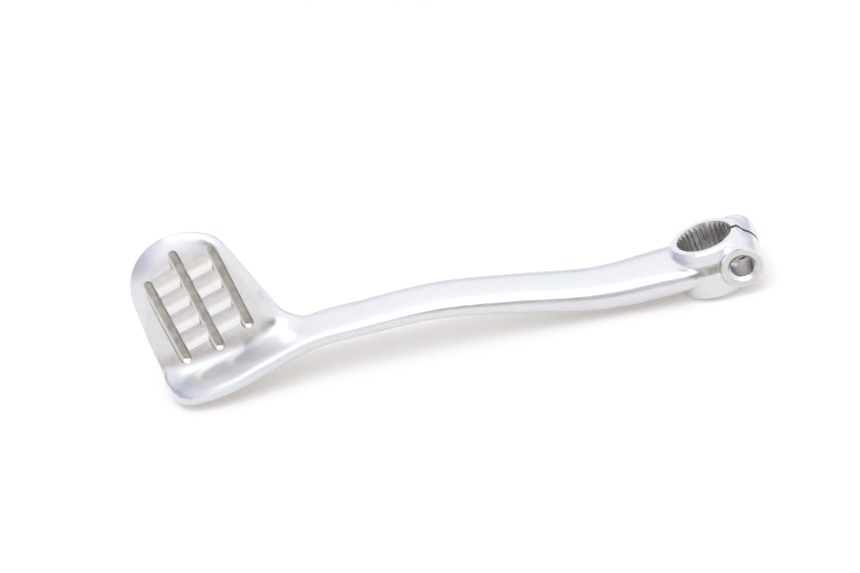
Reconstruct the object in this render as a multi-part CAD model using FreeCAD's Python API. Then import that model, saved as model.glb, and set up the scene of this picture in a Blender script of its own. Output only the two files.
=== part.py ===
import FreeCAD, Part
import math
import os
from FreeCAD import Vector

# A one-piece forged aluminium kick start lever, in millimetres.
# The origin is on the kick shaft's axis at half the clamp's height.
# Z runs along the shaft, away from the engine.
# The arm reaches to -X, and the foot pushes the front of the pad, which faces -Y.

# Main sizes: from the shaft's axis to the pad's middle, and from the clamp's middle up to the ledge's
LEVER_LENGTH = 152.5
LEDGE_Z = 13.4

# Clamp, with a narrower collar above its rounded shoulder
CLAMP_HEIGHT = 15.4
CLAMP_RADIUS = 11.7
CLAMP_CHAMFER = 0.6
SHOULDER_Z = 3.2
SHOULDER_ROUND = 2.0
COLLAR_STEP = 1.1

# Serrated bore
TOOTH_COUNT = 30
TOOTH_TIP_RADIUS = 7.6
TOOTH_TIP_WIDTH = 0.62
TOOTH_DEPTH = 0.6
TOOTH_GAP_WIDTH = 0.5
BORE_CHAMFER = 0.7

# Pinch bolt hole, the ears that it draws together and the slit between them
BOLT_OFFSET = 8.3
BOLT_HOLE_RADIUS = 3.4
BOLT_HOLE_CHAMFER = 0.9
EAR_RADIUS = 6.4
EAR_FRONT = 12.0
EAR_REAR = 11.6
EAR_FRONT_CHAMFER = 0.4
EAR_REAR_ROUND = 1.6
SLIT_WIDTH = 1.4

# Sections of the arm, each with its place along X, the height of its middle, its reach to the front and
# rear, its half thickness and the radius of its edges.
# At the clamp they are placed from the shaft's axis, and at the ledge from the pad's and the ledge's middle.
# Between them, place and height are shares of the lever's length and the ledge's height.
CLAMP_SECTIONS = [
    (3.0, 0.0, 10.6, 10.6, 3.0, 2.4),
    (-5.0, 0.0, 11.3, 11.3, 4.4, 3.4),
    (-14.0, 0.2, 10.8, 10.8, 5.4, 4.2),
]
ARM_SECTIONS = [
    (0.226, 0.135, 9.4, 9.4, 5.5, 4.4),
    (0.377, 0.635, 9.0, 9.0, 5.0, 3.6),
    (0.531, 1.105, 8.9, 8.9, 4.4, 2.8),
    (0.695, 1.290, 8.9, 8.9, 4.2, 2.5),
]
LEDGE_SECTIONS = [
    (30.5, 4.8, 9.2, 8.8, 4.3, 2.5),
    (15.5, 2.8, 10.8, 8.8, 4.2, 2.5),
    (2.5, 0.9, 12.4, 8.8, 4.1, 2.5),
    (-8.5, 0.2, 12.0, 8.8, 4.0, 2.5),
    (-14.5, 0.0, 10.2, 8.7, 4.1, 2.5),
    (-19.0, 0.0, 6.0, 8.3, 3.9, 2.3),
    (-21.1, 0.0, 2.4, 7.4, 3.2, 1.8),
]
ARM_STEPS = 3

# Foot pad, placed along X from its middle and along Z from the ledge's middle
PAD_FACE_Y = 1.0
PAD_THICKNESS = 6.5
PAD_ARC_RISE = 27.4
PAD_ARC_RADIUS = 21.0
PAD_OUTER_FLARE = 4.5
PAD_INNER_REACH = 18.4
PAD_INNER_FLARE = 14.3
PAD_INNER_CORNER = 10.0
PAD_INNER_FILLET = 10.0
PAD_INNER_FOOT = 7.4
PAD_OUTER_ROOT = -0.9
PAD_INNER_ROOT = 3.0
PAD_FACE_FILLET = 5.5
PAD_FACE_FOOT = 3.4
PAD_FRONT_ROUND = 2.8
PAD_BACK_ROUND = 2.4
PAD_CORNER_OUT = 11.1
PAD_CORNER_Y = 5.0
PAD_CORNER_RADIUS = 12.0

# Tread: upright grooves, and a row of scallops that crosses the strips between them at a slight lean
GROOVE_SHIFT = -0.2
GROOVE_SPACING = 11.9
GROOVE_RADIUS = 2.05
GROOVE_DEPTH = 1.8
GROOVE_LOW = [9.4, 10.2, 14.2]
GROOVE_HIGH = [36.2, 43.6, 40.9]
SCALLOP_COUNT = 4
SCALLOP_LOW = 12.8
SCALLOP_PITCH = 6.88
SCALLOP_DEPTH = 1.2
SCALLOP_LAND = 0.5
SCALLOP_LEAN = 10.0


def oval(x, z, front, rear, half_height, edge_radius):
    """One section of the arm: a crowned top and bottom joined by two round edges."""
    middle = (rear - front) / 2
    run = (rear + front) / 2 - edge_radius
    crown = (run ** 2 + half_height ** 2 - edge_radius ** 2) / (2 * (half_height - edge_radius))
    slope = math.asin(run / (crown - edge_radius))

    def at(y, up):
        return Vector(x, middle + y, z + up)

    touch_y = run + edge_radius * math.sin(slope)
    touch_z = edge_radius * math.cos(slope)
    reach = run + edge_radius
    corners = [at(touch_y, touch_z), at(-touch_y, touch_z), at(-touch_y, -touch_z), at(touch_y, -touch_z)]
    middles = [at(0, half_height), at(-reach, 0), at(0, -half_height), at(reach, 0)]
    arcs = []
    for i in range(4):
        arcs.append(Part.Arc(corners[i], middles[i], corners[(i + 1) % 4]).toShape())
    return Part.Wire(arcs)


def arm_sections():
    """Every section at its true place, from the clamp to the ledge's end."""
    sections = list(CLAMP_SECTIONS)
    for share, rise, *form in ARM_SECTIONS:
        sections.append((-share * LEVER_LENGTH, rise * LEDGE_Z, *form))
    for x, rise, *form in LEDGE_SECTIONS:
        sections.append((x - LEVER_LENGTH, LEDGE_Z + rise, *form))
    return sections


def arm_stations():
    """The sections with smooth steps between, on curves with the distance from the shaft as parameter."""
    sections = arm_sections()
    places = [-s[0] for s in sections]
    reach = Part.BSplineCurve()
    reach.interpolate(Points=[Vector(*s[1:4]) for s in sections], Parameters=places)
    form = Part.BSplineCurve()
    form.interpolate(Points=[Vector(s[4], s[5], 0) for s in sections], Parameters=places)
    stations = []
    for start, end in zip(places, places[1:]):
        for step in range(ARM_STEPS):
            stations.append(start + (end - start) * step / ARM_STEPS)
    stations.append(places[-1])
    return [(-p, *reach.value(p), form.value(p).x, form.value(p).y) for p in stations]


def arm():
    """The arm and the ledge under the pad, in short straight stretches that keep the mesh light."""
    return Part.makeLoft([oval(*s) for s in arm_stations()], True, True)


def from_pad(x, y, rise):
    """A point placed from the pad's middle along X and from the ledge's middle along Z."""
    return Vector(x - LEVER_LENGTH, y, LEDGE_Z + rise)


def turn_point(centre, radius, degrees):
    """A point on a circle in the XZ plane."""
    angle = math.radians(degrees)
    return centre + Vector(radius * math.cos(angle), 0, radius * math.sin(angle))


def turn_arc(centre, radius, start, end):
    """An arc in the XZ plane between two angles in degrees."""
    return Part.Arc(*[turn_point(centre, radius, d) for d in (start, (start + end) / 2, end)]).toShape()


def closed_face(pieces):
    """A flat face round a row of edges, with a straight line wherever one edge stops short of the next."""
    edges = []
    for i, piece in enumerate(pieces):
        edges.append(piece)
        end = piece.valueAt(piece.LastParameter)
        following = pieces[(i + 1) % len(pieces)]
        start = following.valueAt(following.FirstParameter)
        if end.distanceToPoint(start) > 1e-6:
            edges.append(Part.makeLine(end, start))
    return Part.Face(Part.Wire(Part.__sortEdges__(edges)))


def clamp_body():
    """The turned outline of the clamp: a wide lower half, a rounded shoulder and a narrower collar."""
    top = CLAMP_HEIGHT / 2
    edge = CLAMP_CHAMFER
    axis = Part.makeLine(Vector(0, 0, top), Vector(0, 0, -top))
    low_edge = Part.makeLine(Vector(CLAMP_RADIUS - edge, 0, -top), Vector(CLAMP_RADIUS, 0, edge - top))
    collar = CLAMP_RADIUS - COLLAR_STEP
    turn = math.degrees(math.acos(1 - COLLAR_STEP / SHOULDER_ROUND))
    rim = Vector(CLAMP_RADIUS - SHOULDER_ROUND, 0, SHOULDER_Z - SHOULDER_ROUND)
    shoulder = turn_arc(rim, SHOULDER_ROUND, 0, turn)
    top_edge = Part.makeLine(Vector(collar, 0, top - edge), Vector(collar - edge, 0, top))
    outline = [axis, low_edge, shoulder, top_edge]
    return closed_face(outline).revolve(Vector(), Vector(0, 0, 1), 360)


def rim(bar, y):
    """The edge of a bar's end face, found by its place along Y."""
    return [e for e in bar.Edges if isinstance(e.Curve, Part.Circle) and abs(e.Curve.Center.y - y) < 1e-4]


def ears():
    """The bolt's two ears as one round bar across the slit's end."""
    start = Vector(BOLT_OFFSET, -EAR_FRONT, 0)
    bar = Part.makeCylinder(EAR_RADIUS, EAR_FRONT + EAR_REAR, start, Vector(0, 1, 0))
    bar = bar.makeChamfer(EAR_FRONT_CHAMFER, rim(bar, -EAR_FRONT))
    return bar.makeFillet(EAR_REAR_ROUND, rim(bar, EAR_REAR))


def pad_outline():
    """The pad seen from the front, flared on both sides and swept into the arm on the inner one."""
    arc = from_pad(0, 0, PAD_ARC_RISE)
    slope = math.radians(PAD_INNER_FLARE)
    inset = PAD_ARC_RADIUS - PAD_INNER_CORNER
    gap = PAD_INNER_REACH * math.cos(slope) - PAD_INNER_CORNER
    turn = PAD_INNER_FLARE + math.degrees(math.acos(gap / inset))
    corner = turn_point(arc, inset, turn)
    shoulder = turn_arc(corner, PAD_INNER_CORNER, PAD_INNER_FLARE, turn)
    top = turn_arc(arc, PAD_ARC_RADIUS, turn, 180 - PAD_OUTER_FLARE)
    outer = top.valueAt(top.LastParameter)
    drop = outer.z - LEDGE_Z - PAD_OUTER_ROOT
    root = outer - Vector(drop * math.tan(math.radians(PAD_OUTER_FLARE)), 0, drop)
    sweep_rise = PAD_INNER_FOOT + PAD_INNER_FILLET
    line_x = PAD_INNER_REACH + (PAD_ARC_RISE - sweep_rise) * math.tan(slope)
    sweep = from_pad(line_x + PAD_INNER_FILLET / math.cos(slope), 0, sweep_rise)
    foot = Part.makeLine(root, Vector(sweep.x, 0, LEDGE_Z + PAD_INNER_ROOT))
    side = turn_arc(sweep, PAD_INNER_FILLET, 270, 180 + PAD_INNER_FLARE)
    return closed_face([shoulder, top, foot, side])


def pad_profile():
    """The pad seen from its end: a flat back and face, and a fillet from the face to the ledge."""
    back = PAD_FACE_Y + PAD_THICKNESS
    tip = LEDGE_Z + PAD_ARC_RISE + PAD_ARC_RADIUS + 1
    bottom = LEDGE_Z + PAD_OUTER_ROOT
    centre = Vector(0, PAD_FACE_Y - PAD_FACE_FILLET, LEDGE_Z + PAD_FACE_FOOT + PAD_FACE_FILLET)
    middle = centre + Vector(0, 1, -1) * (PAD_FACE_FILLET / math.sqrt(2))
    low = centre + Vector(0, 0, -PAD_FACE_FILLET)
    high = centre + Vector(0, PAD_FACE_FILLET, 0)
    fillet = Part.Arc(low, middle, high).toShape()
    top = Part.makeLine(Vector(0, PAD_FACE_Y, tip), Vector(0, back, tip))
    foot = Part.makeLine(Vector(0, back, bottom), Vector(0, low.y, bottom))
    return closed_face([fillet, top, foot])


def pad_rim(blank, outline, in_front):
    """The edges round the pad's outline, on its face and the fillet below it, or on its back."""
    border = outline.OuterWire
    inner_end = outline.BoundBox.XMax
    found = []
    for edge in blank.Edges:
        middle = edge.valueAt((edge.FirstParameter + edge.LastParameter) / 2)
        flat = Vector(middle.x, 0, middle.z)
        on_border = border.distToShape(Part.Vertex(flat))[0] < 1e-4
        clear_of_arm = middle.z > LEDGE_Z + PAD_FACE_FOOT and middle.x < inner_end - 1e-4
        front = middle.y < PAD_FACE_Y + 1e-4
        back = middle.y > PAD_FACE_Y + PAD_THICKNESS - 1e-4
        if on_border and clear_of_arm and (front if in_front else back):
            found.append(edge)
    return found


def pad_corner():
    """What a large radius seen from above takes off the outer front corner of the pad's foot."""
    reach = PAD_CORNER_RADIUS
    tall = PAD_ARC_RISE + PAD_ARC_RADIUS - PAD_OUTER_ROOT
    centre = from_pad(-PAD_CORNER_OUT, PAD_CORNER_Y, PAD_OUTER_ROOT)
    block = Part.makeBox(2 * reach, 2 * reach, tall, centre - Vector(2 * reach, 2 * reach, 0))
    return block.cut(Part.makeCylinder(reach, tall, centre))


def pad_blank():
    """The pad before its tread is cut: front view and end view in common, with a rounded rim and corner."""
    depth = PAD_THICKNESS + PAD_FACE_FILLET
    outline = pad_outline()
    front_view = outline.extrude(Vector(0, depth, 0))
    front_view.translate(Vector(0, PAD_FACE_Y - PAD_FACE_FILLET, 0))
    box = front_view.BoundBox
    end_view = pad_profile().extrude(Vector(box.XLength + 2, 0, 0))
    end_view.translate(Vector(box.XMin - 1, 0, 0))
    blank = front_view.common(end_view)
    blank = blank.makeFillet(PAD_FRONT_ROUND, pad_rim(blank, outline, True))
    blank = blank.makeFillet(PAD_BACK_ROUND, pad_rim(blank, outline, False))
    return blank.cut(pad_corner())


def groove(index):
    """One upright round-bottomed groove with ball ends."""
    x = GROOVE_SHIFT + (index - 1) * GROOVE_SPACING
    y = PAD_FACE_Y + GROOVE_DEPTH - GROOVE_RADIUS
    low = from_pad(x, y, GROOVE_LOW[index])
    high = from_pad(x, y, GROOVE_HIGH[index])
    run = Part.makeCylinder(GROOVE_RADIUS, high.z - low.z, low, Vector(0, 0, 1))
    ends = [Part.makeSphere(GROOVE_RADIUS, low), Part.makeSphere(GROOVE_RADIUS, high)]
    return run.fuse(ends)


def scallop(index):
    """One hollow across both strips, from the outer groove's middle to the inner groove's."""
    half = (SCALLOP_PITCH - SCALLOP_LAND) / 2
    radius = (half ** 2 + SCALLOP_DEPTH ** 2) / (2 * SCALLOP_DEPTH)
    lean = math.radians(SCALLOP_LEAN)
    along = Vector(math.cos(lean), 0, math.sin(lean))
    rise = SCALLOP_LOW + (index + 0.5) * SCALLOP_PITCH
    middle = from_pad(GROOVE_SHIFT, PAD_FACE_Y + SCALLOP_DEPTH - radius, rise)
    length = 2 * GROOVE_SPACING / along.x
    return Part.makeCylinder(radius, length, middle - along * (length / 2), along)


def bore():
    """The serrated hole for the shaft, with the teeth chamfered at both ends."""
    top = CLAMP_HEIGHT / 2
    gap_radius = TOOTH_TIP_RADIUS + TOOTH_DEPTH
    tip_half = TOOTH_TIP_WIDTH / TOOTH_TIP_RADIUS / 2
    gap_half = TOOTH_GAP_WIDTH / gap_radius / 2
    pitch = 2 * math.pi / TOOTH_COUNT

    def at(radius, angle):
        return Vector(radius * math.cos(angle), radius * math.sin(angle), -top - 1)

    edges = []
    for i in range(TOOTH_COUNT):
        gap = i * pitch
        tip = gap + pitch / 2
        after = gap + pitch
        gap_end = at(gap_radius, gap + gap_half)
        tip_start = at(TOOTH_TIP_RADIUS, tip - tip_half)
        tip_end = at(TOOTH_TIP_RADIUS, tip + tip_half)
        edges.append(Part.Arc(at(gap_radius, gap - gap_half), at(gap_radius, gap), gap_end).toShape())
        edges.append(Part.makeLine(gap_end, tip_start))
        edges.append(Part.Arc(tip_start, at(TOOTH_TIP_RADIUS, tip), tip_end).toShape())
        edges.append(Part.makeLine(tip_end, at(gap_radius, after - gap_half)))
    hole = Part.Face(Part.Wire(edges)).extrude(Vector(0, 0, CLAMP_HEIGHT + 2))
    wide = TOOTH_TIP_RADIUS + BORE_CHAMFER
    inside = top - BORE_CHAMFER
    tools = [hole]
    for up in (Vector(0, 0, 1), Vector(0, 0, -1)):
        tools.append(Part.makeCone(TOOTH_TIP_RADIUS, wide + 1, BORE_CHAMFER + 1, up * inside, up))
    return tools


def bolt_hole():
    """The cross hole for the pinch bolt, chamfered at both faces."""
    across = Vector(0, 1, 0)
    run = EAR_FRONT + EAR_REAR
    tools = [Part.makeCylinder(BOLT_HOLE_RADIUS, run + 2, Vector(BOLT_OFFSET, -EAR_FRONT - 1, 0), across)]
    wide = BOLT_HOLE_RADIUS + BOLT_HOLE_CHAMFER
    for face, side in ((-EAR_FRONT, -1), (EAR_REAR, 1)):
        start = Vector(BOLT_OFFSET, face - side * BOLT_HOLE_CHAMFER, 0)
        tools.append(Part.makeCone(BOLT_HOLE_RADIUS, wide + 1, BOLT_HOLE_CHAMFER + 1, start, across * side))
    return tools


def slit():
    reach = BOLT_OFFSET + EAR_RADIUS + 1
    height = CLAMP_HEIGHT + 2
    return Part.makeBox(reach, SLIT_WIDTH, height, Vector(0, -SLIT_WIDTH / 2, -height / 2))


def kick_lever():
    """The forged blank with its machined features cut last."""
    forging = arm().fuse([clamp_body(), ears(), pad_blank()])
    tread = [groove(i) for i in range(len(GROOVE_LOW))] + [scallop(i) for i in range(SCALLOP_COUNT)]
    return forging.cut(bore() + bolt_hole() + [slit()] + tread)


lever = kick_lever()
print("kick_lever", lever.isValid(), len(lever.Solids), len(lever.Faces), round(lever.Volume, 1))
os.makedirs("parts", exist_ok=True)
lever.exportStep("parts/kick_lever.step")
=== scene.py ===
# %% [markdown]
# # Kick start lever
# The lever is one aluminium forging that was polished all over and then machined where it meets other parts.
# This lesson follows the same order: forge a rough blank, melt its pieces into one skin, smooth it, and only
# then cut the bore, the bolt hole, the slit and the tread, whose edges stay crisp.
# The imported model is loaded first, because the new skin has to stay inside its box.

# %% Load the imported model
import math

import bmesh
import bpy
from mathutils import Euler, Matrix, Vector


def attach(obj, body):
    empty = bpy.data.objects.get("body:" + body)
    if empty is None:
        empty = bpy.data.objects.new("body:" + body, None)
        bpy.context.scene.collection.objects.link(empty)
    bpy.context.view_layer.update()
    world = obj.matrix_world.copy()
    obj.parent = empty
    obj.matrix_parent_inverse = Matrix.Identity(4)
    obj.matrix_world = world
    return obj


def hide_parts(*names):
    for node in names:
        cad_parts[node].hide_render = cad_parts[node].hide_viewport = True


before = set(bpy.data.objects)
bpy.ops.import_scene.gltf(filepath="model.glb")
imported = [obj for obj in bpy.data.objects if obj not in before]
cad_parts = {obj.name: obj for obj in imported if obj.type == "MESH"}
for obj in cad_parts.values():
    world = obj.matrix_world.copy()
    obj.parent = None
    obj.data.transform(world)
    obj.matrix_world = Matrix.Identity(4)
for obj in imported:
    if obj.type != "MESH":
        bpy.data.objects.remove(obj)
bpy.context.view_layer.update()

MM = 0.001
scene = bpy.context.scene

# %% [markdown]
# ## The arm
# The arm is an S-shaped bar that is thick and round at the clamp and wide and flat at the ledge.
# Such a bar could be swept along a curve, but its section changes all the way, so a row of closed loops that
# are bridged to one another is easier to steer.
# Each row of numbers holds a section's place along X, the height of its middle, its reach to the front and
# to the rear, half its thickness and the radius of its edges, in millimetres.

# %% Sections of the arm
SECTIONS = [
    (3.0, 0.0, 10.6, 10.6, 3.0, 2.4),
    (-5.0, 0.0, 11.3, 11.3, 4.4, 3.4),
    (-14.0, 0.2, 10.8, 10.8, 5.4, 4.2),
    (-34.5, 1.8, 9.4, 9.4, 5.5, 4.4),
    (-57.5, 8.5, 9.0, 9.0, 5.0, 3.6),
    (-81.0, 14.8, 8.9, 8.9, 4.4, 2.8),
    (-106.0, 17.3, 8.9, 8.9, 4.2, 2.5),
    (-122.0, 18.2, 9.2, 8.8, 4.3, 2.5),
    (-137.0, 16.2, 10.8, 8.8, 4.2, 2.5),
    (-150.0, 14.3, 12.4, 8.8, 4.1, 2.5),
    (-161.0, 13.6, 12.0, 8.8, 4.0, 2.5),
    (-167.0, 13.4, 10.2, 8.7, 4.1, 2.5),
    (-171.5, 13.4, 6.0, 8.3, 3.9, 2.3),
    (-173.6, 13.4, 2.4, 7.4, 3.2, 1.8),
]
STEPS = 6
RING_VERTICES = 96


def slope_at(rows, i):
    """How fast each number of a section changes along X at section i."""
    before, here, after = rows[max(i - 1, 0)], rows[i], rows[min(i + 1, len(rows) - 1)]
    if i in (0, len(rows) - 1):
        return [(a - b) / (after[0] - before[0]) for a, b in zip(after, before)]
    left, right = here[0] - before[0], after[0] - here[0]
    return [((c - b) / left * right + (a - c) / right * left) / (left + right)
            for a, b, c in zip(after, before, here)]


def section_between(rows, i, t):
    """A section on smooth curves, at the share t of the way from section i to the next one."""
    u = 1 - t
    run = rows[i + 1][0] - rows[i][0]
    ends = zip(rows[i], rows[i + 1], slope_at(rows, i), slope_at(rows, i + 1))
    return [a * u * u * (1 + 2 * t) + b * t * t * (1 + 2 * u) + run * t * u * (m * u - n * t)
            for a, b, m, n in ends]


stations = [section_between(SECTIONS, i, k / STEPS) for i in range(len(SECTIONS) - 1) for k in range(STEPS)]
stations.append(SECTIONS[-1])
print(len(stations), "stations from", len(SECTIONS), "sections")

# %% [markdown]
# A section is an oval of four arcs: a crowned top and bottom, and two round edges.
# Every vertex of a plain circle is moved to the point of the oval that faces the same way, which puts most
# vertices on the tight edges, where they are needed.

# %% Loft the arm
def oval_point(section, facing):
    """The point of a section whose skin faces the given direction, counted from the rear edge."""
    x, z, front, rear, half, edge = section
    run = (rear + front) / 2 - edge
    crown = (run ** 2 + half ** 2 - edge ** 2) / (2 * (half - edge))
    out_y, out_z = math.cos(facing), math.sin(facing)
    if abs(out_y) < run / (crown - edge):
        y, up = crown * out_y, crown * out_z - math.copysign(crown - half, out_z)
    else:
        y, up = math.copysign(run, out_y) + edge * out_y, edge * out_z
    return Vector((x, (rear - front) / 2 + y, z + up)) * MM


def ring_of(bm, section, count):
    """A closed loop of edges round one section."""
    verts = bmesh.ops.create_circle(bm, segments=count, radius=1)["verts"]
    for vert in verts:
        vert.co = oval_point(section, math.atan2(vert.co.y, vert.co.x))
    return list({edge for vert in verts for edge in vert.link_edges})


def new_piece(name, bm):
    """Turn a bmesh into an object of the scene, with its faces pointing outwards."""
    bmesh.ops.recalc_face_normals(bm, faces=bm.faces)
    mesh = bpy.data.meshes.new(name)
    bm.to_mesh(mesh)
    bm.free()
    piece = bpy.data.objects.new(name, mesh)
    scene.collection.objects.link(piece)
    print(name, len(mesh.vertices), "vertices")
    return piece


def forge_arm():
    bm = bmesh.new()
    rings = [ring_of(bm, section, RING_VERTICES) for section in stations]
    for ring, following in zip(rings, rings[1:]):
        bmesh.ops.bridge_loops(bm, edges=ring + following)
    for end in (rings[0], rings[-1]):
        bmesh.ops.contextual_create(bm, geom=end)
    return new_piece("arm_blank", bm)


arm = forge_arm()

# %% [markdown]
# ## The clamp and its ears
# The clamp is a turned shape: a wide lower half, a sloping shoulder and a narrower collar.
# Half its outline is drawn once and spun round the shaft's axis.
# The blank is left a little too tall, because its top is faced flat later.
# The two ears are one bar along Y, which is left a little too long in front for the same reason.

# %% Spin the clamp and add the ears
CLAMP_HALF = 7.7
CLAMP_RADIUS = 11.7
BASE_CHAMFER = 0.8
COLLAR_RADIUS = 10.6
SHOULDER_LOW_Z = 0.4
SHOULDER_Z = 3.2
BOLT_X = 8.3
EAR_RADIUS = 6.4
EAR_FRONT = -12.0
EAR_REAR = 11.6
EAR_REAR_ROUND = 1.6
SPARE = 1.5


def arc_points(middle, radius, start, end, steps):
    """Points on an arc of a flat drawing, between two angles in degrees."""
    turns = [math.radians(start + (end - start) * k / steps) for k in range(steps + 1)]
    return [(middle[0] + radius * math.cos(a), middle[1] + radius * math.sin(a)) for a in turns]


def turned(points, middle, axis, steps=128, closed=False):
    """A drawing in millimetres, spun once round an axis as on a lathe."""
    bm = bmesh.new()
    verts = [bm.verts.new(Vector(point) * MM) for point in points]
    edges = [bm.edges.new(pair) for pair in zip(verts, verts[1:])]
    if closed:
        edges.append(bm.edges.new((verts[-1], verts[0])))
    bmesh.ops.spin(bm, geom=verts + edges, cent=Vector(middle) * MM, axis=axis, angle=math.tau, steps=steps,
                   use_merge=True)
    bmesh.ops.remove_doubles(bm, verts=bm.verts, dist=1e-6)
    return bm


def forge_clamp():
    low, high = -CLAMP_HALF, CLAMP_HALF + SPARE
    outline = [(0, low), (CLAMP_RADIUS - BASE_CHAMFER, low), (CLAMP_RADIUS, low + BASE_CHAMFER)]
    outline += [(CLAMP_RADIUS, SHOULDER_LOW_Z), (COLLAR_RADIUS, SHOULDER_Z)]
    outline += [(COLLAR_RADIUS, high), (0, high)]
    return new_piece("clamp_blank", turned([(x, 0, z) for x, z in outline], (0, 0, 0), (0, 0, 1)))


def add_bar(bm, start, end, radius, end_radius=None, count=96):
    """A closed round bar, or a cone, between two points in millimetres."""
    start, end = Vector(start) * MM, Vector(end) * MM
    turn = (end - start).to_track_quat("Z", "Y").to_matrix().to_4x4()
    place = Matrix.Translation((start + end) / 2) @ turn
    tip = radius if end_radius is None else end_radius
    bmesh.ops.create_cone(bm, cap_ends=True, segments=count, radius1=radius * MM, radius2=tip * MM,
                          depth=(end - start).length, matrix=place)


def forge_ears():
    bm = bmesh.new()
    add_bar(bm, (BOLT_X, EAR_FRONT - SPARE, 0), (BOLT_X, EAR_REAR, 0), EAR_RADIUS)
    rim = [e for e in bm.edges if min(v.co.y for v in e.verts) > (EAR_REAR - 0.01) * MM]
    bmesh.ops.bevel(bm, geom=rim, offset=EAR_REAR_ROUND * MM, segments=5, profile=0.5, affect="EDGES",
                    material=-1)
    return new_piece("ear_blank", bm)


clamp = forge_clamp()
ears = forge_ears()

# %% [markdown]
# ## The foot pad
# Seen from the front, the pad is a rounded plate that sweeps into the arm on its inner side.
# Seen from its end, a hollow fillet leads from its face down to the ledge.
# Both drawings are pushed through each other, and what they have in common is the pad, just as a pattern
# maker would saw it from two sides.
# Its rims are then bevelled round, and a large radius takes off the outer corner of the foot.

# %% Draw the pad from the front and from its end
PAD_X = -152.5
PAD_FACE_Y = 1.0
PAD_BACK_Y = 7.5
PAD_ARC_Z = 40.8
PAD_ARC_RADIUS = 21.0
PAD_OUTER_FLARE = 4.5
PAD_INNER_X = -134.1
PAD_INNER_FLARE = 14.3
PAD_INNER_ROUND = 10.0
PAD_INNER_FOOT_Z = 20.8
PAD_ROOT_Z = 12.5
PAD_INNER_ROOT_Z = 16.4
FACE_FILLET = 5.5
FACE_FOOT_Z = 16.8
FRONT_ROUND = 2.8
BACK_ROUND = 2.4
BEYOND_X = -190


def pad_front_view():
    """The outline in X and Z: inner corner, round top, straight outer side, root and inner sweep."""
    slope = math.radians(PAD_INNER_FLARE)
    inset = PAD_ARC_RADIUS - PAD_INNER_ROUND
    gap = (PAD_INNER_X - PAD_X) * math.cos(slope) - PAD_INNER_ROUND
    turn = slope + math.acos(gap / inset)
    corner = (PAD_X + inset * math.cos(turn), PAD_ARC_Z + inset * math.sin(turn))
    sweep_z = PAD_INNER_FOOT_Z + PAD_INNER_ROUND
    line_x = PAD_INNER_X + (PAD_ARC_Z - sweep_z) * math.tan(slope)
    sweep = (line_x + PAD_INNER_ROUND / math.cos(slope), sweep_z)
    top = arc_points((PAD_X, PAD_ARC_Z), PAD_ARC_RADIUS, math.degrees(turn), 180 - PAD_OUTER_FLARE, 40)
    outer_x, outer_z = top[-1]
    root_x = outer_x - (outer_z - PAD_ROOT_Z) * math.tan(math.radians(PAD_OUTER_FLARE))
    outline = arc_points(corner, PAD_INNER_ROUND, PAD_INNER_FLARE, math.degrees(turn), 12)[:-1]
    outline += top + [(root_x, PAD_ROOT_Z), (sweep[0], PAD_INNER_ROOT_Z)]
    return outline + arc_points(sweep, PAD_INNER_ROUND, 270, 180 + PAD_INNER_FLARE, 16)


def pad_end_view():
    """The outline in Y and Z: fillet, face, back and root."""
    middle = (PAD_FACE_Y - FACE_FILLET, FACE_FOOT_Z + FACE_FILLET)
    tip = PAD_ARC_Z + PAD_ARC_RADIUS + 1
    fillet = arc_points(middle, FACE_FILLET, 270, 360, 14)
    return fillet + [(PAD_FACE_Y, tip), (PAD_BACK_Y, tip), (PAD_BACK_Y, PAD_ROOT_Z), (middle[0], PAD_ROOT_Z)]


def push(name, outline, place, way):
    """A flat drawing pushed along a direction: place turns a point of the drawing into millimetres."""
    bm = bmesh.new()
    face = bm.faces.new([bm.verts.new(Vector(place(*point)) * MM) for point in outline])
    grown = bmesh.ops.extrude_face_region(bm, geom=[face])["geom"]
    verts = [item for item in grown if isinstance(item, bmesh.types.BMVert)]
    bmesh.ops.translate(bm, verts=verts, vec=Vector(way) * MM)
    return new_piece(name, bm)


front_y = PAD_FACE_Y - FACE_FILLET
pad = push("pad_blank", pad_front_view(), lambda x, z: (x, front_y, z), (0, PAD_BACK_Y - front_y, 0))
end_view = push("pad_end_view", pad_end_view(), lambda y, z: (BEYOND_X, y, z), (90, 0, 0))

# %% [markdown]
# A boolean modifier joins, cuts or intersects two closed meshes, and a small helper applies it at once.
# The cutters are thrown away afterwards.

# %% Saw the pad and round its rims
def apply_modifiers(piece):
    """Replace a piece's mesh by what its modifiers make of it."""
    graph = bpy.context.evaluated_depsgraph_get()
    mesh = bpy.data.meshes.new_from_object(piece.evaluated_get(graph))
    piece.modifiers.clear()
    piece.data = mesh


def discard(*pieces):
    for piece in pieces:
        bpy.data.objects.remove(piece)


def combine(piece, operation, *cutters):
    """Cut a piece by each cutter, or keep what they have in common, and throw the cutters away."""
    for cutter in cutters:
        step = piece.modifiers.new(cutter.name, "BOOLEAN")
        step.operation = operation
        step.solver = "MANIFOLD"
        step.object = cutter
        step.material_mode = "TRANSFER"
    apply_modifiers(piece)
    discard(*cutters)


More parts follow.
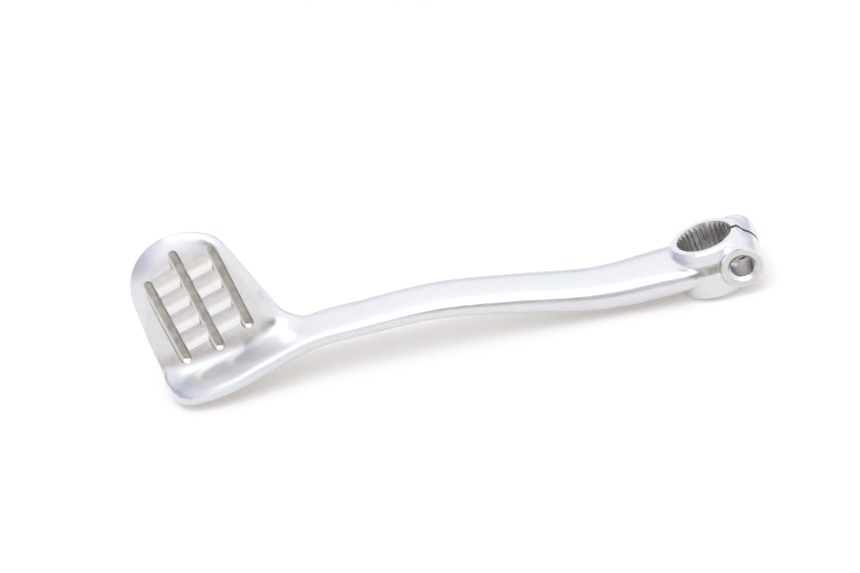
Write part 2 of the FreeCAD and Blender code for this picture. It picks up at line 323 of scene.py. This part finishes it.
def round_rims(piece):
    """Bevel the pad's outline on its back and on its face. The inner end and the root stay as they are."""
    bm = bmesh.new()
    bm.from_mesh(piece.data)
    inner_end = max(v.co.x for v in bm.verts) - 1e-5
    front, back = [], []
    for edge in bm.edges:
        if len(edge.link_faces) != 2 or min(v.co.x for v in edge.verts) > inner_end:
            continue
        if min(v.co.z for v in edge.verts) < FACE_FOOT_Z * MM - 1e-6:
            continue
        ways = sorted(face.normal.y for face in edge.link_faces)
        if ways[0] < -0.02 and abs(ways[1]) < 1e-3:
            front.append(edge)
        elif ways[1] > 0.9 and abs(ways[0]) < 1e-3:
            back.append(edge)
    print("rim edges", len(front), len(back))
    for edges, size in ((back, BACK_ROUND), (front, FRONT_ROUND)):
        rim = [edge for edge in edges if edge.is_valid]
        bmesh.ops.bevel(bm, geom=rim, offset=size * MM, segments=6, profile=0.5, affect="EDGES", material=-1)
    bm.to_mesh(piece.data)
    bm.free()


CORNER = (-163.6, 5.0)
CORNER_RADIUS = 12.0
BEYOND_Y = -25
corner_plan = arc_points(CORNER, CORNER_RADIUS, 180, 270, 24)
corner_plan += [(CORNER[0], BEYOND_Y), (BEYOND_X, BEYOND_Y), (BEYOND_X, CORNER[1])]
corner_cutter = push("corner_cutter", corner_plan, lambda x, y: (x, y, 5), (0, 0, 65))
combine(pad, "INTERSECT", end_view)
round_rims(pad)
combine(pad, "DIFFERENCE", corner_cutter)
print("pad", len(pad.data.polygons), "faces")

# %% [markdown]
# ## One skin
# The four blanks are joined and remeshed in small cubes, which melts them into one closed skin, as a forging
# die would.
# A few rounds of smoothing then do what the polishing wheel does: they soften the seams between the blanks
# into small fillets.

# %% Melt and polish the blanks
def join(name, *pieces):
    bm = bmesh.new()
    for piece in pieces:
        bm.from_mesh(piece.data)
    discard(*pieces)
    return new_piece(name, bm)


lever = join("kick_lever_forging", arm, clamp, ears, pad)
melt = lever.modifiers.new("melt", "REMESH")
melt.mode = "VOXEL"
melt.voxel_size = 0.45 * MM
wheel = lever.modifiers.new("polish", "SMOOTH")
wheel.factor = 0.5
wheel.iterations = 10
apply_modifiers(lever)
print("forging", len(lever.data.polygons), "faces")

# %% [markdown]
# ## Hand polishing
# Some places of the real lever are softer than the wheel alone would leave them.
# The foot of the pad flows into the ledge and the arm in a wide hollow, and the face of the pad leans back
# towards its top.
# Each hollow is smoothed in a box that shrinks step by step, so that it fades out towards its sides.
# The face is leaned back by moving its vertices along Y only, which leaves the outline alone.

# %% Soften the foot of the pad and lean its top back
SOFT_PLACES = [
    ("round the face of the pad", (-178, -1.5, 33), (-122, 4.4, 66), 14),
    ("at the outer foot", (-178, -13, 9), (-164, 9, 26), 6),
    ("along the ledge", (-172, -8, 12), (-112, 3, 31), 30),
    ("at the neck", (-145, -8, 14), (-104, 6.5, 36), 80),
    ("between the collar and the ears", (5, -9, 2), (13, 9, 9), 30),
]
LEAN_CURVE = 1.25
LEAN_LOW_Z, LEAN_FULL_Z = PAD_ARC_Z - 6, PAD_ARC_Z + 6
LEAN_INNER_X, LEAN_FULL_X = PAD_INNER_X + 4, PAD_INNER_X - 16


def soften(bm, low, high, rounds, step=1.0):
    """Smooth the vertices in a box that is made smaller on every side from one stage to the next."""
    count = 0
    for stage in range(4):
        inset = stage * step
        inside = [v for v in bm.verts
                  if all(a + inset < c / MM < b - inset for a, b, c in zip(low, high, v.co))]
        count = max(count, len(inside))
        for _ in range(rounds):
            bmesh.ops.smooth_vert(bm, verts=inside, factor=0.5,
                                  use_axis_x=True, use_axis_y=True, use_axis_z=True)
    return count


def lean_back(bm, start, amount, pivot):
    """Move the face of the pad back, more and more from a radius on towards the rim.

    What lies behind the pivot stays, and the lean fades out down the pad and towards its inner side."""
    for vert in bm.verts:
        x, y, z = vert.co / MM
        if z > LEAN_LOW_Z and y < pivot and x < LEAN_INNER_X:
            reach = (math.hypot(x - PAD_X, z - PAD_ARC_Z) - start) / (PAD_ARC_RADIUS - start)
            share = min(max(reach, 0), 1) ** LEAN_CURVE
            share *= min((z - LEAN_LOW_Z) / (LEAN_FULL_Z - LEAN_LOW_Z), 1)
            share *= min((x - LEAN_INNER_X) / (LEAN_FULL_X - LEAN_INNER_X), 1)
            vert.co.y += amount * share * (pivot - y) / (pivot - PAD_FACE_Y) * MM


bm = bmesh.new()
bm.from_mesh(lever.data)
lean_back(bm, start=12.8, amount=3.2, pivot=5.4)
for place, low, high, rounds in SOFT_PLACES:
    print("softened", soften(bm, low, high, rounds), "vertices", place)
bm.to_mesh(lever.data)
bm.free()

# %% [markdown]
# ## Marks that the finishes share
# Two effects turn up on every finish of this lever, so each is a node group that is built once.
# Polishing leaves fine streaks along the arm and a faint cloudiness.
# A darker colour is mixed in unevenly through a mask: it is grime on some finishes and painted shade on
# others.

# %% Node groups for polishing streaks and for grime and painted shade
def add_socket(group, name, kind, way, value=None):
    socket = group.interface.new_socket(name=name, in_out=way, socket_type=kind)
    if value is not None:
        socket.default_value = value


def noise_of(tree, coordinates, scale, detail):
    noise = tree.nodes.new("ShaderNodeTexNoise")
    noise.inputs["Scale"].default_value = scale
    noise.inputs["Detail"].default_value = detail
    tree.links.new(coordinates, noise.inputs["Vector"])
    return noise.outputs[0]


def make_streaks():
    group = bpy.data.node_groups.new("polishing_streaks", "ShaderNodeTree")
    add_socket(group, "Streaks", "NodeSocketFloat", "OUTPUT")
    add_socket(group, "Cloud", "NodeSocketFloat", "OUTPUT")
    nodes, links = group.nodes, group.links
    out = nodes.new("NodeGroupOutput")
    place = nodes.new("ShaderNodeTexCoord").outputs["Object"]
    stretch = nodes.new("ShaderNodeMapping")
    stretch.inputs["Scale"].default_value = (90, 1400, 1400)
    links.new(place, stretch.inputs["Vector"])
    links.new(noise_of(group, stretch.outputs["Vector"], 1.0, 4.0), out.inputs["Streaks"])
    links.new(noise_of(group, place, 130.0, 3.0), out.inputs["Cloud"])
    return group


# The darker colour and its mask serve both as grime and as painted shade.
def make_grime_and_shade():
    group = bpy.data.node_groups.new("grime_and_painted_shade", "ShaderNodeTree")
    add_socket(group, "Metal", "NodeSocketColor", "INPUT", (0.9, 0.9, 0.9, 1))
    add_socket(group, "Grime and shade", "NodeSocketColor", "INPUT", (0.4, 0.35, 0.3, 1))
    add_socket(group, "Mask", "NodeSocketFloat", "INPUT", 0.0)
    add_socket(group, "Color", "NodeSocketColor", "OUTPUT")
    nodes, links = group.nodes, group.links
    given, out = nodes.new("NodeGroupInput"), nodes.new("NodeGroupOutput")
    place = nodes.new("ShaderNodeTexCoord").outputs["Object"]
    uneven = nodes.new("ShaderNodeMapRange")
    uneven.inputs["From Min"].default_value = 0.3
    uneven.inputs["From Max"].default_value = 0.65
    uneven.inputs["To Min"].default_value = 0.75
    links.new(noise_of(group, place, 420.0, 5.0), uneven.inputs["Value"])
    share = nodes.new("ShaderNodeMath")
    share.operation = "MULTIPLY"
    links.new(uneven.outputs["Result"], share.inputs[0])
    links.new(given.outputs["Mask"], share.inputs[1])
    mix = nodes.new("ShaderNodeMix")
    mix.data_type = "RGBA"
    links.new(share.outputs[0], mix.inputs[0])
    links.new(given.outputs["Metal"], mix.inputs[6])
    links.new(given.outputs["Grime and shade"], mix.inputs[7])
    links.new(mix.outputs[2], out.inputs["Color"])
    return group


streak_group = make_streaks()
grime_and_shade_group = make_grime_and_shade()
print("node groups", [group.name for group in (streak_group, grime_and_shade_group)])

# %% [markdown]
# ## Finishes
# The forging is polished, the tread and the bolt face are left as the cutter made them, and the bore and the
# bolt hole are dull and dirty.
# All of them are the same metal, so one function makes them, and only colour, roughness and marks differ.
# The roughness follows the streaks, which breaks up the reflections as a real polish does.

# %% Build the metal and its plain finishes
def use_group(tree, group):
    node = tree.nodes.new("ShaderNodeGroup")
    node.node_tree = group
    return node


def map_range(tree, value, low, high, to_low=0.0, to_high=1.0):
    """A smooth step from one number to another, while a value runs from low to high."""
    node = tree.nodes.new("ShaderNodeMapRange")
    node.interpolation_type = "SMOOTHSTEP"
    for name, number in (("From Min", low), ("From Max", high), ("To Min", to_low), ("To Max", to_high)):
        node.inputs[name].default_value = number
    tree.links.new(value, node.inputs["Value"])
    return node.outputs["Result"]


def metal(name, colour, grime_and_shade_colour, roughness, spread):
    """Bare aluminium with streaks in its gloss. Returns the material, its tree and its node for grime and
    painted shade.
    """
    material = bpy.data.materials.new(name)
    material.use_nodes = True
    tree = material.node_tree
    shader = tree.nodes["Principled BSDF"]
    shader.inputs["Metallic"].default_value = 1
    grime_and_shade_mix = use_group(tree, grime_and_shade_group)
    grime_and_shade_mix.inputs["Metal"].default_value = (*colour, 1)
    grime_and_shade_mix.inputs["Grime and shade"].default_value = (*grime_and_shade_colour, 1)
    tree.links.new(grime_and_shade_mix.outputs["Color"], shader.inputs["Base Color"])
    marks = use_group(tree, streak_group)
    gloss = map_range(tree, marks.outputs["Streaks"], 0.25, 0.75, roughness - spread, roughness + spread)
    tree.links.new(gloss, shader.inputs["Roughness"])
    bump = tree.nodes.new("ShaderNodeBump")
    bump.inputs["Strength"].default_value = 0.05
    bump.inputs["Distance"].default_value = 0.0002
    tree.links.new(marks.outputs["Cloud"], bump.inputs["Height"])
    tree.links.new(bump.outputs["Normal"], shader.inputs["Normal"])
    return material, tree, grime_and_shade_mix


def plain_finish(name, colour, grime_and_shade_colour, roughness, spread, share):
    """A finish with the same share of grime all over."""
    material, _, grime_and_shade_mix = metal(name, colour, grime_and_shade_colour, roughness, spread)
    grime_and_shade_mix.inputs["Mask"].default_value = share
    return material


faced = plain_finish("faced_aluminium", (0.76, 0.75, 0.73), (0.50, 0.47, 0.44), 0.3, 0.05, 0.4)
drilled = plain_finish("drilled_aluminium", (0.92, 0.92, 0.92), (0.45, 0.43, 0.42), 0.32, 0.08, 0.6)
print("plain finishes", faced.name, "and", drilled.name)

# %% [markdown]
# On the other two finishes the darker colour goes to some places only: scuffs and painted shade on the pad's
# face, painted shade on upright sides, on the clamp's shoulder and under each hollow's upper edge, and a
# darkening that grows with depth in the tread.
# A mask says where.
# It is made from a point's place on the lever, in metres, and from the way the skin faces.

# %% Make the finishes with worn places and painted shade
def maths(tree, operation, a, b):
    """Two values, or a value and a number, put together."""
    node = tree.nodes.new("ShaderNodeMath")
    node.operation = operation
    for socket, value in zip(node.inputs, (a, b)):
        if isinstance(value, (int, float)):
            socket.default_value = value
        else:
            tree.links.new(value, socket)
    return node.outputs[0]


def overlap(tree, *masks):
    """A mask that is set only where all the given ones are."""
    result = masks[0]
    for mask in masks[1:]:
        result = maths(tree, "MULTIPLY", result, mask)
    return result


def axes_of(tree):
    """The X, Y and Z of a point of the lever."""
    split = tree.nodes.new("ShaderNodeSeparateXYZ")
    tree.links.new(tree.nodes.new("ShaderNodeTexCoord").outputs["Object"], split.inputs[0])
    return split.outputs


def upward(tree):
    """How far a point of the skin faces up, from -1 to 1."""
    split = tree.nodes.new("ShaderNodeSeparateXYZ")
    tree.links.new(tree.nodes.new("ShaderNodeNewGeometry").outputs["Normal"], split.inputs[0])
    return split.outputs["Z"]


def polished_finish():
    """Boots scuff the pad's face, which also gets painted shade, most at its foot; upright sides and the
    shoulder get painted shade.
    """
    bright, worn_and_shade_colour = (0.855, 0.868, 0.905), (0.45, 0.405, 0.37)
    material, tree, grime_and_shade_mix = metal("polished_aluminium", bright, worn_and_shade_colour, 0.33, 0.025)
    x, y, z = axes_of(tree)
    # The pad's face is darkened: partly boot scuffs, partly painted shade.
    on_face = overlap(tree, map_range(tree, y, 0.0026, 0.0014), map_range(tree, y, -0.001, 0.0006))
    above_ledge = map_range(tree, z, 0.0195, 0.0225)
    on_pad = map_range(tree, x, -0.129, -0.137)
    # Painted shade: the darkening grows towards the foot of the face, in the crease above the ledge.
    shade_towards_foot = maths(tree, "ADD", map_range(tree, z, 0.028, 0.022), 0.85)
    scuffs_and_shade = overlap(tree, on_face, above_ledge, on_pad, maths(tree, "MULTIPLY", shade_towards_foot, 0.5))
    # Painted shade: skin that faces sideways or down is darker.
    painted_side_shade = map_range(tree, upward(tree), 0.5, 0.05, 0.0, 0.3)
    # Painted shade: a dark band on the clamp's shoulder, in front of the ears.
    reach = maths(tree, "ADD", maths(tree, "MULTIPLY", x, x), maths(tree, "MULTIPLY", y, y))
    on_clamp = map_range(tree, reach, 0.0135 ** 2, 0.0122 ** 2)
    before_ears = map_range(tree, x, 0.0058, 0.0040)
    band = overlap(tree, map_range(tree, z, 0.0, 0.0010), map_range(tree, z, 0.0042, 0.0030))
    painted_shoulder_band = overlap(tree, on_clamp, before_ears, band, 0.85)
    painted_shade_on_sides = maths(tree, "MAXIMUM", painted_side_shade, painted_shoulder_band)
    tree.links.new(maths(tree, "MAXIMUM", scuffs_and_shade, painted_shade_on_sides), grime_and_shade_mix.inputs["Mask"])
    return material


def milled_finish():
    """The grooves get darker the deeper they go, and milled skin that faces down, such as the upper part of
    each hollow, gets painted shade.
    """
    material, tree, grime_and_shade_mix = metal("milled_tread", (0.93, 0.915, 0.90), (0.33, 0.30, 0.265), 0.32, 0.02)
    depth = map_range(tree, axes_of(tree)[1], 0.0018, 0.0026, 0.0, 1.0)
    # Painted shade: milled skin that faces down is darker.
    painted_shade_under = map_range(tree, upward(tree), 0.15, -0.2, 0.0, 0.5)
    tree.links.new(maths(tree, "MAXIMUM", depth, painted_shade_under), grime_and_shade_mix.inputs["Mask"])
    return material


polished = polished_finish()
milled = milled_finish()
lever.data.materials.append(polished)
print("worn finishes", polished.name, "and", milled.name)

# %% [markdown]
# ## Machining
# The clamp is finished on machines: its top and its bolt face are faced flat, the bore is broached, the bolt
# hole is drilled and a saw opens the slit.
# Every cutter is a closed mesh that carries the finish it leaves behind, and the boolean copies that finish
# to the faces it cuts.
# Because all this comes after the smoothing, these edges stay crisp.

# %% Cut the clamp
TIP_RADIUS, TIP_HALF_WIDTH = 7.6, 0.31
GAP_RADIUS, GAP_HALF_WIDTH = 8.2, 0.25
TEETH = 30
BORE_CHAMFER_START, BORE_CHAMFER_RADIUS = 6.2, 7.55
BORE_CHAMFER_END, BORE_CHAMFER_END_RADIUS = 8.2, 8.62
COLLAR_CHAMFER = 0.6
HOLE_RADIUS = 3.4
HOLE_CHAMFER = 0.9
HOLE_REACH = 20
SLIT_WIDTH = 1.4


def tool(name, bm, finish):
    """A cutter that carries the finish it leaves behind."""
    cutter = new_piece(name, bm)
    cutter.data.materials.append(finish)
    return cutter


def facing_tool():
    """Takes off what stands above the collar's top, and chamfers its edge."""
    flat, outside, above = COLLAR_RADIUS - COLLAR_CHAMFER, 14, 12
    outline = [(0, CLAMP_HALF), (flat, CLAMP_HALF), (flat + 1, CLAMP_HALF - 1), (outside, CLAMP_HALF - 1)]
    outline += [(outside, above), (0, above)]
    bm = turned([(x, 0, z) for x, z in outline], (0, 0, 0), (0, 0, 1))
    return tool("collar_facing", bm, polished)


def ear_facing_tool():
    """Takes off what stands in front of the bolt face."""
    bm = bmesh.new()
    place = Matrix.Translation(Vector((BOLT_X, EAR_FRONT - 10, 0)) * MM)
    bmesh.ops.create_cube(bm, size=20 * MM, matrix=place)
    return tool("ear_facing", bm, faced)


def ear_rim_tool():
    """A turned ring that rounds the rim of the bolt face."""
    outline = [(5.75, 0.01), (6.1, -0.07), (6.35, -0.25), (6.45, -0.5), (6.6, -0.5), (6.6, 1), (5.75, 1)]
    points = [(BOLT_X + reach, EAR_FRONT - depth, 0) for reach, depth in outline]
    return tool("ear_rim", turned(points, (BOLT_X, 0, 0), (0, 1, 0), steps=96, closed=True), polished)


def bore_tool():
    """A serrated bar: the circle's vertices take turns at the gaps and at the tooth tips."""
    pitch = math.tau / TEETH
    gap, tip = GAP_HALF_WIDTH / GAP_RADIUS, TIP_HALF_WIDTH / TIP_RADIUS
    turns = [(GAP_RADIUS, -gap), (GAP_RADIUS, gap)]
    turns += [(TIP_RADIUS, pitch / 2 - tip), (TIP_RADIUS, pitch / 2 + tip)]
    bm = bmesh.new()
    verts = bmesh.ops.create_circle(bm, cap_ends=True, segments=4 * TEETH, radius=1)["verts"]
    for i, vert in enumerate(verts):
        radius, turn = turns[i % 4]
        turn += i // 4 * pitch
        vert.co = Vector((radius * math.cos(turn), radius * math.sin(turn), -10)) * MM
    grown = bmesh.ops.extrude_face_region(bm, geom=bm.faces[:])["geom"]
    verts = [item for item in grown if isinstance(item, bmesh.types.BMVert)]
    bmesh.ops.translate(bm, verts=verts, vec=(0, 0, 20 * MM))
    return tool("serrated_bore", bm, drilled)


def cone_tool(name, start, end, radius, end_radius, finish):
    bm = bmesh.new()
    add_bar(bm, start, end, radius, end_radius)
    return tool(name, bm, finish)


def slit_tool():
    """A flat saw cut from the bore out to +X."""
    bm = bmesh.new()
    place = Matrix.Translation(Vector((10, 0, 0)) * MM) @ Matrix.Diagonal((20, SLIT_WIDTH, 30, 1))
    bmesh.ops.create_cube(bm, size=MM, matrix=place)
    return tool("clamp_slit", bm, drilled)


def bore_chamfer_tool(name, side):
    """A cone at the top of the bore, where side is 1, or at its base, where side is -1."""
    start, end = (0, 0, side * BORE_CHAMFER_START), (0, 0, side * BORE_CHAMFER_END)
    return cone_tool(name, start, end, BORE_CHAMFER_RADIUS, BORE_CHAMFER_END_RADIUS, drilled)


def bolt_chamfer_tool(name, face_y, side):
    """A cone that runs 1 mm past the face of an ear, at 45 degrees."""
    start, end = (BOLT_X, face_y - side * HOLE_CHAMFER, 0), (BOLT_X, face_y + side, 0)
    return cone_tool(name, start, end, HOLE_RADIUS, HOLE_RADIUS + HOLE_CHAMFER + 1, polished)


combine(lever, "DIFFERENCE", facing_tool(), ear_facing_tool(), ear_rim_tool(), bore_tool(), slit_tool(),
        bore_chamfer_tool("bore_chamfer_top", 1), bore_chamfer_tool("bore_chamfer_base", -1),
        cone_tool("bolt_hole", (BOLT_X, -HOLE_REACH, 0), (BOLT_X, HOLE_REACH, 0), HOLE_RADIUS, HOLE_RADIUS,
                  drilled),
        bolt_chamfer_tool("bolt_chamfer_front", EAR_FRONT, -1),
        bolt_chamfer_tool("bolt_chamfer_rear", EAR_REAR, 1))
print("after the clamp", len(lever.data.polygons), "faces")

# %% [markdown]
# ## The tread
# Three upright grooves and four leaning rows of hollows keep a wet boot on the pad.
# A round-nosed cutter would mill them, so each groove is cut by a bar with round ends.
# A row of hollows is cut by one thick bar that only dips a little into the face, and the thin lands that it
# leaves standing are the teeth of the tread.

# %% Cut the tread
GROOVE_X = -152.7
GROOVE_SPACING = 11.9
GROOVE_RADIUS = 2.05
GROOVE_DEPTH = 1.8
GROOVE_END_ROUND = 0.97 * GROOVE_RADIUS
GROOVE_ENDS = [(22.8, 49.6), (23.6, 57.0), (27.6, 54.3)]
SCALLOP_LOW_Z = 26.2
SCALLOP_PITCH = 6.88
SCALLOP_DEPTH = 1.2
SCALLOP_LAND = 0.5
SCALLOP_LEAN = math.radians(10)


def groove_tool(i):
    """A bar whose ends are bevelled almost to its middle, which makes them round."""
    x = GROOVE_X + (i - 1) * GROOVE_SPACING
    y = PAD_FACE_Y + GROOVE_DEPTH - GROOVE_RADIUS
    low, high = GROOVE_ENDS[i]
    bm = bmesh.new()
    add_bar(bm, (x, y, low - GROOVE_RADIUS), (x, y, high + GROOVE_RADIUS), GROOVE_RADIUS, count=48)
    rims = [e for e in bm.edges if abs(e.verts[0].co.z - e.verts[1].co.z) < 1e-7]
    bmesh.ops.bevel(bm, geom=rims, offset=GROOVE_END_ROUND * MM, segments=8, profile=0.5, affect="EDGES",
                    material=-1)
    return tool(f"groove_{i}", bm, milled)


def scallop_tool(i):
    """A thick leaning bar that cuts one hollow across both strips of the tread."""
    half = (SCALLOP_PITCH - SCALLOP_LAND) / 2
    radius = (half ** 2 + SCALLOP_DEPTH ** 2) / (2 * SCALLOP_DEPTH)
    along = Vector((GROOVE_SPACING, 0, GROOVE_SPACING * math.tan(SCALLOP_LEAN)))
    height = SCALLOP_LOW_Z + (i + 0.5) * SCALLOP_PITCH
    middle = Vector((GROOVE_X, PAD_FACE_Y + SCALLOP_DEPTH - radius, height))
    bm = bmesh.new()
    add_bar(bm, middle - along, middle + along, radius)
    return tool(f"scallop_{i}", bm, milled)


combine(lever, "DIFFERENCE", *[groove_tool(i) for i in range(3)], *[scallop_tool(i) for i in range(4)])
print("after the tread", len(lever.data.polygons), "faces")

# %% [markdown]
# ## Shading
# Faces that meet at a small angle are shaded as one round skin, and edges steeper than that, which are the
# ones the cutters left, stay sharp.
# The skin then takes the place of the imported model's plain mesh and rides on the same body.

# %% Shade the skin and hand it over
SHARP_ANGLE = 32

lever.data.shade_smooth()
lever.data.set_sharp_from_angle(angle=math.radians(SHARP_ANGLE))
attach(lever, "root")
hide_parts("kick_lever")
lever.data.calc_loop_triangles()
print("lever", len(lever.data.loop_triangles), "triangles")

# %% [markdown]
# ## The table
# The lever lies on the lower rim of its clamp and on the foot of its pad, so the table under it is tilted by
# a few degrees.
# The table is a matt white sheet. In the photo it is lit to pure white, which would take too much light on
# the metal, so it glows a little for the camera and in the mirror of the metal, and gives off no light.

# %% Lay the table
TABLE_LEAN = 6.2
TABLE_GAP = 0.05

bm = bmesh.new()
bmesh.ops.create_grid(bm, x_segments=1, y_segments=1, size=2)
lean = Matrix.Rotation(math.radians(TABLE_LEAN), 3, "Y")
bmesh.ops.rotate(bm, verts=bm.verts, cent=(0, 0, 0), matrix=lean)
rim_point = Vector((-CLAMP_RADIUS, 0, -CLAMP_HALF - TABLE_GAP)) * MM
bmesh.ops.translate(bm, verts=bm.verts, vec=rim_point)
floor = new_piece("floor", bm)


def seen_or_mirrored(tree):
    """1 for what the camera sees, straight or in the metal, and 0 for light that only shines."""
    path = tree.nodes.new("ShaderNodeLightPath").outputs
    seen = maths(tree, "MAXIMUM", path["Is Camera Ray"], path["Is Glossy Ray"])
    return maths(tree, "MAXIMUM", seen, path["Is Transmission Ray"])


def table_top():
    """Matt white, with a glow that grows with the distance and hides the horizon."""
    material = bpy.data.materials.new("white_table")
    material.use_nodes = True
    tree = material.node_tree
    tree.nodes.remove(tree.nodes["Principled BSDF"])
    matt = tree.nodes.new("ShaderNodeBsdfDiffuse")
    matt.inputs["Color"].default_value = (0.78, 0.82, 0.86, 1)
    lift = tree.nodes.new("ShaderNodeEmission")
    lift.inputs["Color"].default_value = (1.0, 0.84, 0.68, 1)
    far = tree.nodes.new("ShaderNodeVectorMath")
    far.operation = "LENGTH"
    tree.links.new(tree.nodes.new("ShaderNodeTexCoord").outputs["Object"], far.inputs[0])
    glow = map_range(tree, far.outputs["Value"], 0.3, 1.3, 0.27, 0.9)
    tree.links.new(maths(tree, "MULTIPLY", seen_or_mirrored(tree), glow), lift.inputs["Strength"])
    both = tree.nodes.new("ShaderNodeAddShader")
    tree.links.new(matt.outputs[0], both.inputs[0])
    tree.links.new(lift.outputs[0], both.inputs[1])
    tree.links.new(both.outputs[0], tree.nodes["Material Output"].inputs["Surface"])
    return material


floor.data.materials.append(table_top())
print("table tilted by", TABLE_LEAN, "degrees")

# %% [markdown]
# ## Light
# The room is white all round, and one large softbox above and in front casts the soft shadow.
# Polished metal shows the room it stands in, so cards are set up round it, as a photographer would do.
# Two dark cards in front draw the dark line along the arm, and a greyer one above them softens that line's
# upper side.
# Grey cards behind the lever and beyond the pad's end keep the far sides from washing out.
# The camera itself doesn't see the cards, and they cast no shadow.

# %% Light the room and set up the cards
world = bpy.data.worlds.new("studio")
world.use_nodes = True
room = world.node_tree.nodes["Background"]
room.inputs["Color"].default_value = (1, 1, 1, 1)
strength = map_range(world.node_tree, seen_or_mirrored(world.node_tree), 0, 1, 0.75, 1.0)
world.node_tree.links.new(strength, room.inputs["Strength"])
scene.world = world

softbox = bpy.data.objects.new("softbox", bpy.data.lights.new("softbox", "AREA"))
softbox.data.size = 1.1
softbox.data.energy = 9.4
softbox.location = (0.1, -0.68, 1.3)
aim = Vector((-0.08, 0, 0.01))
softbox.rotation_euler = (aim - softbox.location).to_track_quat("-Z", "Y").to_euler()
scene.collection.objects.link(softbox)
print("softbox of", softbox.data.energy, "W,", softbox.data.size, "m wide")


def add_card(name, colour, low, high):
    """A flat upright panel between two corners in metres, which the camera itself does not see."""
    bm = bmesh.new()
    corners = [low, (*high[:2], low[2]), high, (*low[:2], high[2])]
    bm.faces.new([bm.verts.new(corner) for corner in corners])
    card = new_piece(name, bm)
    material = bpy.data.materials.new(name)
    material.use_nodes = True
    material.node_tree.nodes["Principled BSDF"].inputs["Base Color"].default_value = (*colour, 1)
    card.data.materials.append(material)
    card.visible_camera = False
    card.visible_shadow = False


add_card("dark_card", (0.02, 0.015, 0.02), (-0.18, -0.6, 0.02), (-0.07, -0.6, 0.56))
add_card("dark_end_card", (0.02, 0.015, 0.02), (-0.07, -0.6, 0.20), (0.20, -0.6, 0.56))
add_card("haze_card", (0.30, 0.29, 0.32), (-0.18, -0.6, 0.56), (0.20, -0.6, 0.80))
add_card("back_card", (0.60, 0.62, 0.70), (-1.5, 1.6, -0.2), (1.5, 1.6, 0.35))
add_card("grey_card", (0.50, 0.50, 0.58), (-1.0, -0.9, 0.05), (-1.0, 0.9, 0.6))
add_card("side_card", (0.72, 0.71, 0.79), (-1.0, -0.9, 0.6), (-1.0, 1.5, 1.6))

# %% [markdown]
# ## Camera
# The camera stands where the lever's outline fits the photo best, a little above and in front of it.
# That fit gave a focal length of 1700 pixels on a photo that is 860 pixels wide, which sets the lens.

# %% Place the camera
FOCAL_PIXELS = 1700
PHOTO_WIDTH = 860
SENSOR_WIDTH = 36.0

camera = bpy.data.objects.new("camera", bpy.data.cameras.new("camera"))
camera.data.sensor_width = SENSOR_WIDTH
camera.data.lens = FOCAL_PIXELS / PHOTO_WIDTH * SENSOR_WIDTH
camera.location = Vector((31.67, -451.38, 245.06)) * MM
camera.rotation_euler = Euler([math.radians(a) for a in (62.040, 21.917, 2.995)])
scene.collection.objects.link(camera)
scene.camera = camera
print("camera", [round(v, 3) for v in camera.location], "lens", round(camera.data.lens, 2))

scene.view_settings.view_transform = "Standard"
